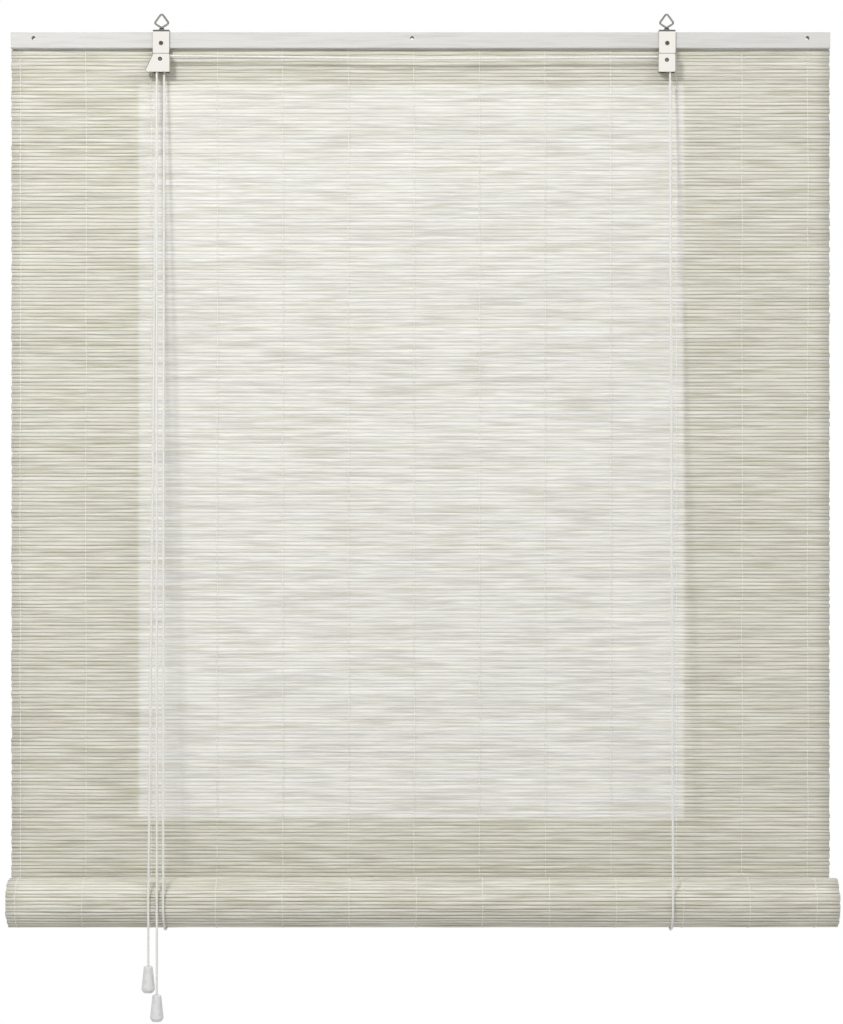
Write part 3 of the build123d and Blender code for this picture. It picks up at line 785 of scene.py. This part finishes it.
# heads: the left cord over the lock's sheave, the right one over the pulley, along the rail and into the lock
liftX = lock["axleX"] + lock["turn"]
pullX = lock["axleX"] - lock["turn"]
rightLiftX = pulley["axleX"] + lock["turn"]
lockAxle, pulleyAxle = (lock["axleX"], lock["axleZ"]), (pulley["axleX"], pulley["axleZ"])
intoLock = [[pullX, lock["axleZ"] - lock["straight"]], [pullX, lock["exitZ"]]]
leftHead = np.vstack([[liftX, lock["exitZ"]], [liftX, lock["axleZ"] - lock["straight"]],
                      turnPoints(lockAxle, lock["turn"], 0, pi, 4), intoLock])
piece = cordPiece("liftCordHeadLeft", "lift_cord_head_left",
                  inPlaneY(leftHead, runs["grooveY"]["left"]), (0, 1, 0))[0]
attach(piece, "headrail")

rightHead = np.vstack([[rightLiftX, lock["exitZ"]], [rightLiftX, pulley["axleZ"] - lock["straight"]],
                       turnPoints(pulleyAxle, lock["turn"], 0, pi / 2, 2), railWay,
                       turnPoints(lockAxle, lock["turn"], pi / 2, pi / 2, 2), intoLock])
piece = cordPiece("liftCordHeadRight", "lift_cord_head_right",
                  inPlaneY(rightHead, runs["grooveY"]["right"]), (0, 1, 0))[0]
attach(piece, "headrail")

for side, topX in (("left", liftX), ("right", rightLiftX)):
    name = side.capitalize()
    x, anchorX, grooveY = runs["cordX"][side], runs["anchorX"][side], runs["grooveY"][side]
    rise, reach = runs["topZ"] - blind["rollZ"], grooveY - blind["rollY"]
    frontAngle = atan2(rise, reach) + acos(runs["bightRadius"] / hypot(rise, reach))
    touch = np.array([x, blind["rollY"] + runs["bightRadius"] * np.cos(frontAngle),
                      blind["rollZ"] + runs["bightRadius"] * np.sin(frontAngle)])

    # the last of the front run moves with the roll, so that the cord passes over the raised roll, not through it
    top = np.array([topX, grooveY, runs["topZ"]])
    foot, joint = towards(touch, top, runs["overRoll"] + runs["gap"]), towards(touch, top, runs["overRoll"])
    piece = cordPiece("liftCordFront" + name, "lift_cord_front_" + side,
                      [top, (top + foot) / 2, foot], (0, 1, 0))[0]
    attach(piece, "headrail")
    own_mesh(piece)

    # the bight: down the back of the roll, round under it and up to where the front run leaves it
    sweep = frontAngle - 2 * pi
    corners = turnPoints((blind["rollY"], blind["rollZ"]), runs["bightRadius"], 0, sweep, runs["bightCorners"])
    bight = np.vstack([inPlaneX(np.vstack([[runs["backY"], blind["rollZ"]], corners]), x), touch, joint])
    piece = cordPiece("liftCordBight" + name, "lift_cord_bight_" + side, bight, (1, 0, 0))[0]
    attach(piece, "roll_cradle")

    endZ = runs["anchorZ"] - runs["endBend"]
    top = np.array([anchorX, runs["backY"], endZ - runs["gap"]])
    foot = np.array([x, runs["backY"], blind["rollZ"] + runs["gap"]])
    piece = cordPiece("liftCordBack" + name, "lift_cord_back_" + side,
                      [top, (top + foot) / 2, foot], (0, 1, 0))[0]
    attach(piece, "headrail")
    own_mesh(piece)

    # the knotted end behind the strap's back leg
    bend = [[anchorX, runs["strapY"] + runs["endReach"], runs["anchorZ"]],
            [anchorX, runs["backY"], runs["anchorZ"]], [anchorX, runs["backY"], endZ]]
    knot = knotGrid((anchorX, runs["strapY"] + runs["knotReach"], runs["anchorZ"]), (0, 1, 0), (1, 0, 0))
    piece = cordPiece("liftCordEnd" + name, "lift_cord_end_" + side, bend, (1, 0, 0), [knot])[0]
    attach(piece, "headrail")

    # the free pull cord: lock to roll front, and on to the toggle
    downX, toggleTop = runs["pullX"][side], runs["toggleTop"][side]
    top, bend = np.array([pullX, grooveY, runs["topZ"]]), np.array([downX, runs["frontY"], blind["rollZ"]])
    foot, joint = towards(bend, top, runs["overRoll"] + runs["gap"]), towards(bend, top, runs["overRoll"])
    upper, upperLine = cordPiece("pullCordUpper" + name, "pull_cord_upper_" + side,
                                 [top, (top + foot) / 2, foot], (0, 1, 0))
    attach(upper, "headrail")
    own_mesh(upper)
    foot = np.array([downX, runs["frontY"], toggleTop + runs["gap"]])
    lower, lowerLine = cordPiece("pullCordLower" + name, "pull_cord_lower_" + side,
                                 [joint, (joint + bend) / 2, bend, (bend + foot) / 2, foot], (0, 1, 0))
    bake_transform(lower)

    # the stub inside the toggle, which ends in its knot
    knotZ = toggleTop - runs["recessDepth"] - runs["knotReach"]
    knot = knotGrid((downX, runs["frontY"], knotZ), (0, 0, -1), (1, 0, 0))
    stub = [[downX, runs["frontY"], z] for z in (toggleTop, toggleTop - runs["stubMiddle"], knotZ)]
    stubPiece = cordPiece("pullKnot" + name, "pull_knot_" + side, stub, (0, 1, 0), [knot])[0]
    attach(stubPiece, "pull_" + side)
print("cords made")

# floor, light and white ground
light = {
    "ambientBelow": 0.09, "ambientAbove": 0.79, "fallSpread": (-0.7, 0.7),
    "frontSpread": (-0.93, -0.76, 1, 0), "behindSpread": (0.15, 0.6, 0.15, 0.75),
    "keyPlace": (-1.05, -2.0, 0.95), "keyAim": (0, 0, -0.3), "keySize": 0.4, "keyPower": 34.5,
    "fillPlace": (1.7, -2.2, 1.1), "fillAim": (0, 0, -0.45), "fillSize": 0.8, "fillPower": 13.6,
    "backPlace": (1.3, 2.4, 1.0), "backAim": (0, 0, -0.45), "backSize": 0.9, "backPower": 22,
    "windowSize": (0.6, 0.807), "windowPlace": (-0.0099, -0.00575, -0.4539), "windowPower": 1.16,
    "windowColour": (0.69, 0.74, 1.0), "windowSpread": 100,
    "floorZ": -3.0, "floorHalf": 6, "floorColour": (0.8, 0.8, 0.8, 1), "floorRoughness": 0.9, "floorGlow": 0.93,
}


def areaLamp(name, place, aim, size, power):
    # a rectangular lamp at its place, turned to its aim
    lamp = bpy.data.lights.new(name, "AREA")
    lamp.shape = "RECTANGLE"
    lamp.size, lamp.size_y = size
    lamp.energy = power
    holder = bpy.data.objects.new(name, lamp)
    holder.location = place
    holder.rotation_euler = (Vector(aim) - Vector(place)).to_track_quat("-Z", "Y").to_euler()
    scene.collection.objects.link(holder)
    return holder


for lampName in ("key", "fill", "back"):
    lampSize = light[lampName + "Size"]
    lamp = areaLamp(lampName + "Light", light[lampName + "Place"], light[lampName + "Aim"],
                    (lampSize, lampSize), light[lampName + "Power"])
    lamp.visible_glossy = False
# the soft light in the mat's plane shows through its middle, as a window behind it does
windowX, windowY, windowZ = light["windowPlace"]
windowLamp = areaLamp("windowLight", light["windowPlace"], (windowX, windowY - 1, windowZ),
                      light["windowSize"], light["windowPower"])
windowLamp.data.color = light["windowColour"]
windowLamp.data.spread = radians(light["windowSpread"])
windowLamp.visible_camera = False
windowLamp.visible_glossy = False
# it lights the hanging mat alone, so that the roll stays dark behind when it is raised in front of it
windowReach = bpy.data.collections.new("windowReach")
for piece in (matSlats, matThreads):
    windowReach.objects.link(piece)
windowLamp.light_linking.receiver_collection = windowReach

floorMesh = bpy.data.meshes.new("floor")
reach, z = light["floorHalf"], light["floorZ"]
floorMesh.from_pydata([(-reach, -reach, z), (reach, -reach, z), (reach, reach, z), (-reach, reach, z)],
                      [], [(0, 1, 2, 3)])
floor = bpy.data.objects.new("floor", floorMesh)
scene.collection.objects.link(floor)
# the camera sees the floor nearly as white as the ground behind it
floorMaterial, floorTree, floorShader = newMaterial("paleFloor")
floorShader.inputs["Base Color"].default_value = light["floorColour"]
floorShader.inputs["Roughness"].default_value = light["floorRoughness"]
paper = addNode(floorTree, "ShaderNodeEmission")
seen = addNode(floorTree, "ShaderNodeLightPath")
seenShare = combine(floorTree, "MULTIPLY", seen.outputs["Is Camera Ray"], light["floorGlow"])
mixShaders(floorTree, seenShare, floorShader.outputs["BSDF"], paper.outputs["Emission"])
floorMesh.materials.append(floorMaterial)

world = bpy.data.worlds.new("studio")
scene.world = world
world.use_nodes = True
sky = world.node_tree
background = sky.nodes["Background"]
background.inputs["Color"].default_value = (1, 1, 1, 1)
path = addNode(sky, "ShaderNodeLightPath")
glossy = path.outputs["Is Glossy Ray"]
direct = combine(sky, "MAXIMUM", path.outputs["Is Camera Ray"], path.outputs["Is Transmission Ray"])
# reflections see white in front, a pale wall behind and dark between, which gives bright metal its contrast
ray = addNode(sky, "ShaderNodeTexCoord")
split = addNode(sky, "ShaderNodeSeparateXYZ")
join(sky, ray.outputs["Generated"], split.inputs["Vector"])
front = spreadOf(sky, split.outputs["Y"], *light["frontSpread"])
behind = spreadOf(sky, split.outputs["Y"], *light["behindSpread"])
mirrored = combine(sky, "MULTIPLY", glossy, combine(sky, "MAXIMUM", front, behind))
bright = combine(sky, "MAXIMUM", direct, mirrored)
# the soft light is stronger from above than from below, and isn't seen in reflections
fall = spreadOf(sky, split.outputs["Z"], *light["fallSpread"], light["ambientBelow"], light["ambientAbove"])
ambient = combine(sky, "MULTIPLY", combine(sky, "SUBTRACT", 1, glossy, clamp=True), fall)
join(sky, combine(sky, "MAXIMUM", bright, ambient), background.inputs["Strength"])
print("light set")
